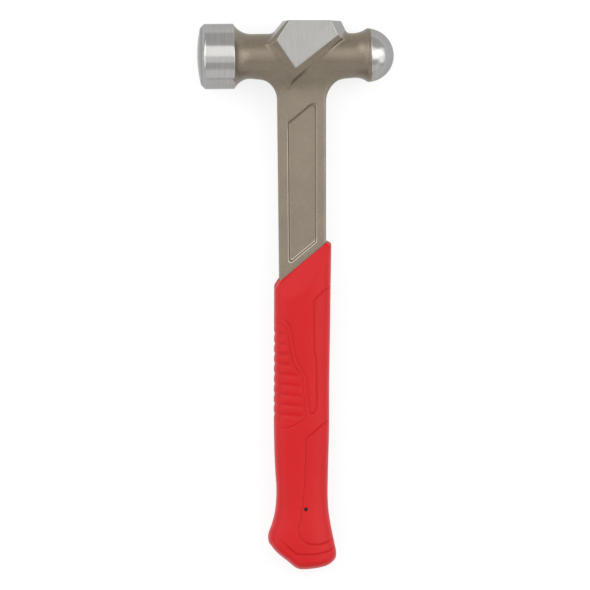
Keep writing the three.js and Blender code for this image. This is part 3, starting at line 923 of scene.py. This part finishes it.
def clothe(piece, material):
    """Gives a piece one material."""
    piece.data.materials.clear()
    piece.data.materials.append(material)


steel_coat, steel_bare, red_skin = coated_steel(), polished_steel(), red_elastomer()
clothe(forged_body(), steel_coat)
clothe(tang(), steel_coat)
clothe(striking_face(), steel_bare)
clothe(ball_end(), steel_bare)
clothe(grip_skin(), red_skin)
inside = {
    "tang_damper": dark_polymer("damper_rubber", (0.012, 0.012, 0.013), (0.03, 0.03, 0.032), 0.8),
    "grip_core": dark_polymer("core_nylon", (0.008, 0.008, 0.009), (0.02, 0.02, 0.022), 0.5),
}
for node, material in inside.items():
    for slot in frame["nodes"][node].material_slots:
        slot.material = material


# ---------------------------------------------------------------- floor, light and camera

SOFT_BOXES = (  # name, place and size in metres, radiance
    ("key_soft_box", (0.0, 0.68, 1.8), (14.0, 1.25), 1.25),
    ("top_soft_box", (0.0, -0.32, 2.1), (6.0, 0.78), 0.52),
    ("low_soft_box", (0.0, -2.0, 0.95), (6.0, 1.5), 0.38),
    ("right_soft_box", (0.95, 0.16, 1.2), (0.9, 0.9), 1.5),
    ("upper_left_soft_box", (-0.8, 0.96, 1.0), (0.8, 0.8), 2.4),
    ("low_right_soft_box", (1.6, 0.1, 0.62), (1.6, 0.9), 1.3),
    ("low_left_soft_box", (-1.6, 0.1, 0.62), (1.6, 0.9), 1.3),
)
SURROUND = 0.8  # the even surround's radiance, which each soft box adds to
FLOOR_HALF, FLOOR_TONE, FLOOR_GLOW = 6.0, 0.2, 0.76
CAMERA_PLACE, CAMERA_LENS = (-0.0003, 0.0, 5.0), 506.6


def soft_light(name, place, size, radiance):
    """A rectangular soft box turned to face the hammer, at the origin."""
    data = bpy.data.lights.new(name, "AREA")
    data.shape = "RECTANGLE"
    data.size, data.size_y = size
    data.energy = radiance * math.pi * size[0] * size[1]
    light = bpy.data.objects.new(name, data)
    light.location = place
    light.rotation_mode = "QUATERNION"
    light.rotation_quaternion = Vector(place).to_track_quat("Z", "Y")
    bpy.context.scene.collection.objects.link(light)


def studio_floor():
    """A wide pale floor under the hammer, glowing a little so that it stays near white."""
    mesh = bpy.data.meshes.new("studio_floor")
    corners = [(x * FLOOR_HALF, y * FLOOR_HALF, 0) for x, y in ((-1, -1), (1, -1), (1, 1), (-1, 1))]
    mesh.from_pydata(corners, [], [(0, 1, 2, 3)])
    floor = bpy.data.objects.new("studio_floor", mesh)
    bpy.context.scene.collection.objects.link(floor)
    material = bpy.data.materials.new("pale_floor")
    material.use_nodes = True
    surface = material.node_tree.nodes["Principled BSDF"]
    surface.inputs["Base Color"].default_value = (FLOOR_TONE, FLOOR_TONE, FLOOR_TONE, 1)
    surface.inputs["Roughness"].default_value = 0.9
    surface.inputs["Specular IOR Level"].default_value = 0.1
    surface.inputs["Emission Color"].default_value = (1.0, 1.0, 1.0, 1)
    surface.inputs["Emission Strength"].default_value = FLOOR_GLOW
    mesh.materials.append(material)


def studio_world():
    """An even pale surround."""
    world = bpy.data.worlds.new("studio")
    world.use_nodes = True
    background = world.node_tree.nodes["Background"]
    background.inputs["Color"].default_value = (1.0, 1.0, 1.0, 1)
    background.inputs["Strength"].default_value = SURROUND
    bpy.context.scene.world = world


def overhead_camera():
    """A long lens straight above, with the head at the top of the picture."""
    data = bpy.data.cameras.new("overhead")
    data.sensor_width = 36.0
    data.lens = CAMERA_LENS
    camera = bpy.data.objects.new("overhead", data)
    camera.location = CAMERA_PLACE
    camera.rotation_euler = (0, 0, 0)
    data.clip_start, data.clip_end = 0.1, 50.0
    bpy.context.scene.collection.objects.link(camera)
    bpy.context.scene.camera = camera


studio_floor()
studio_world()
for soft_box in SOFT_BOXES:
    soft_light(*soft_box)
overhead_camera()

scene = bpy.context.scene
scene.view_settings.view_transform = "Standard"
scene.view_settings.look = "None"
scene.view_settings.exposure = 0.0
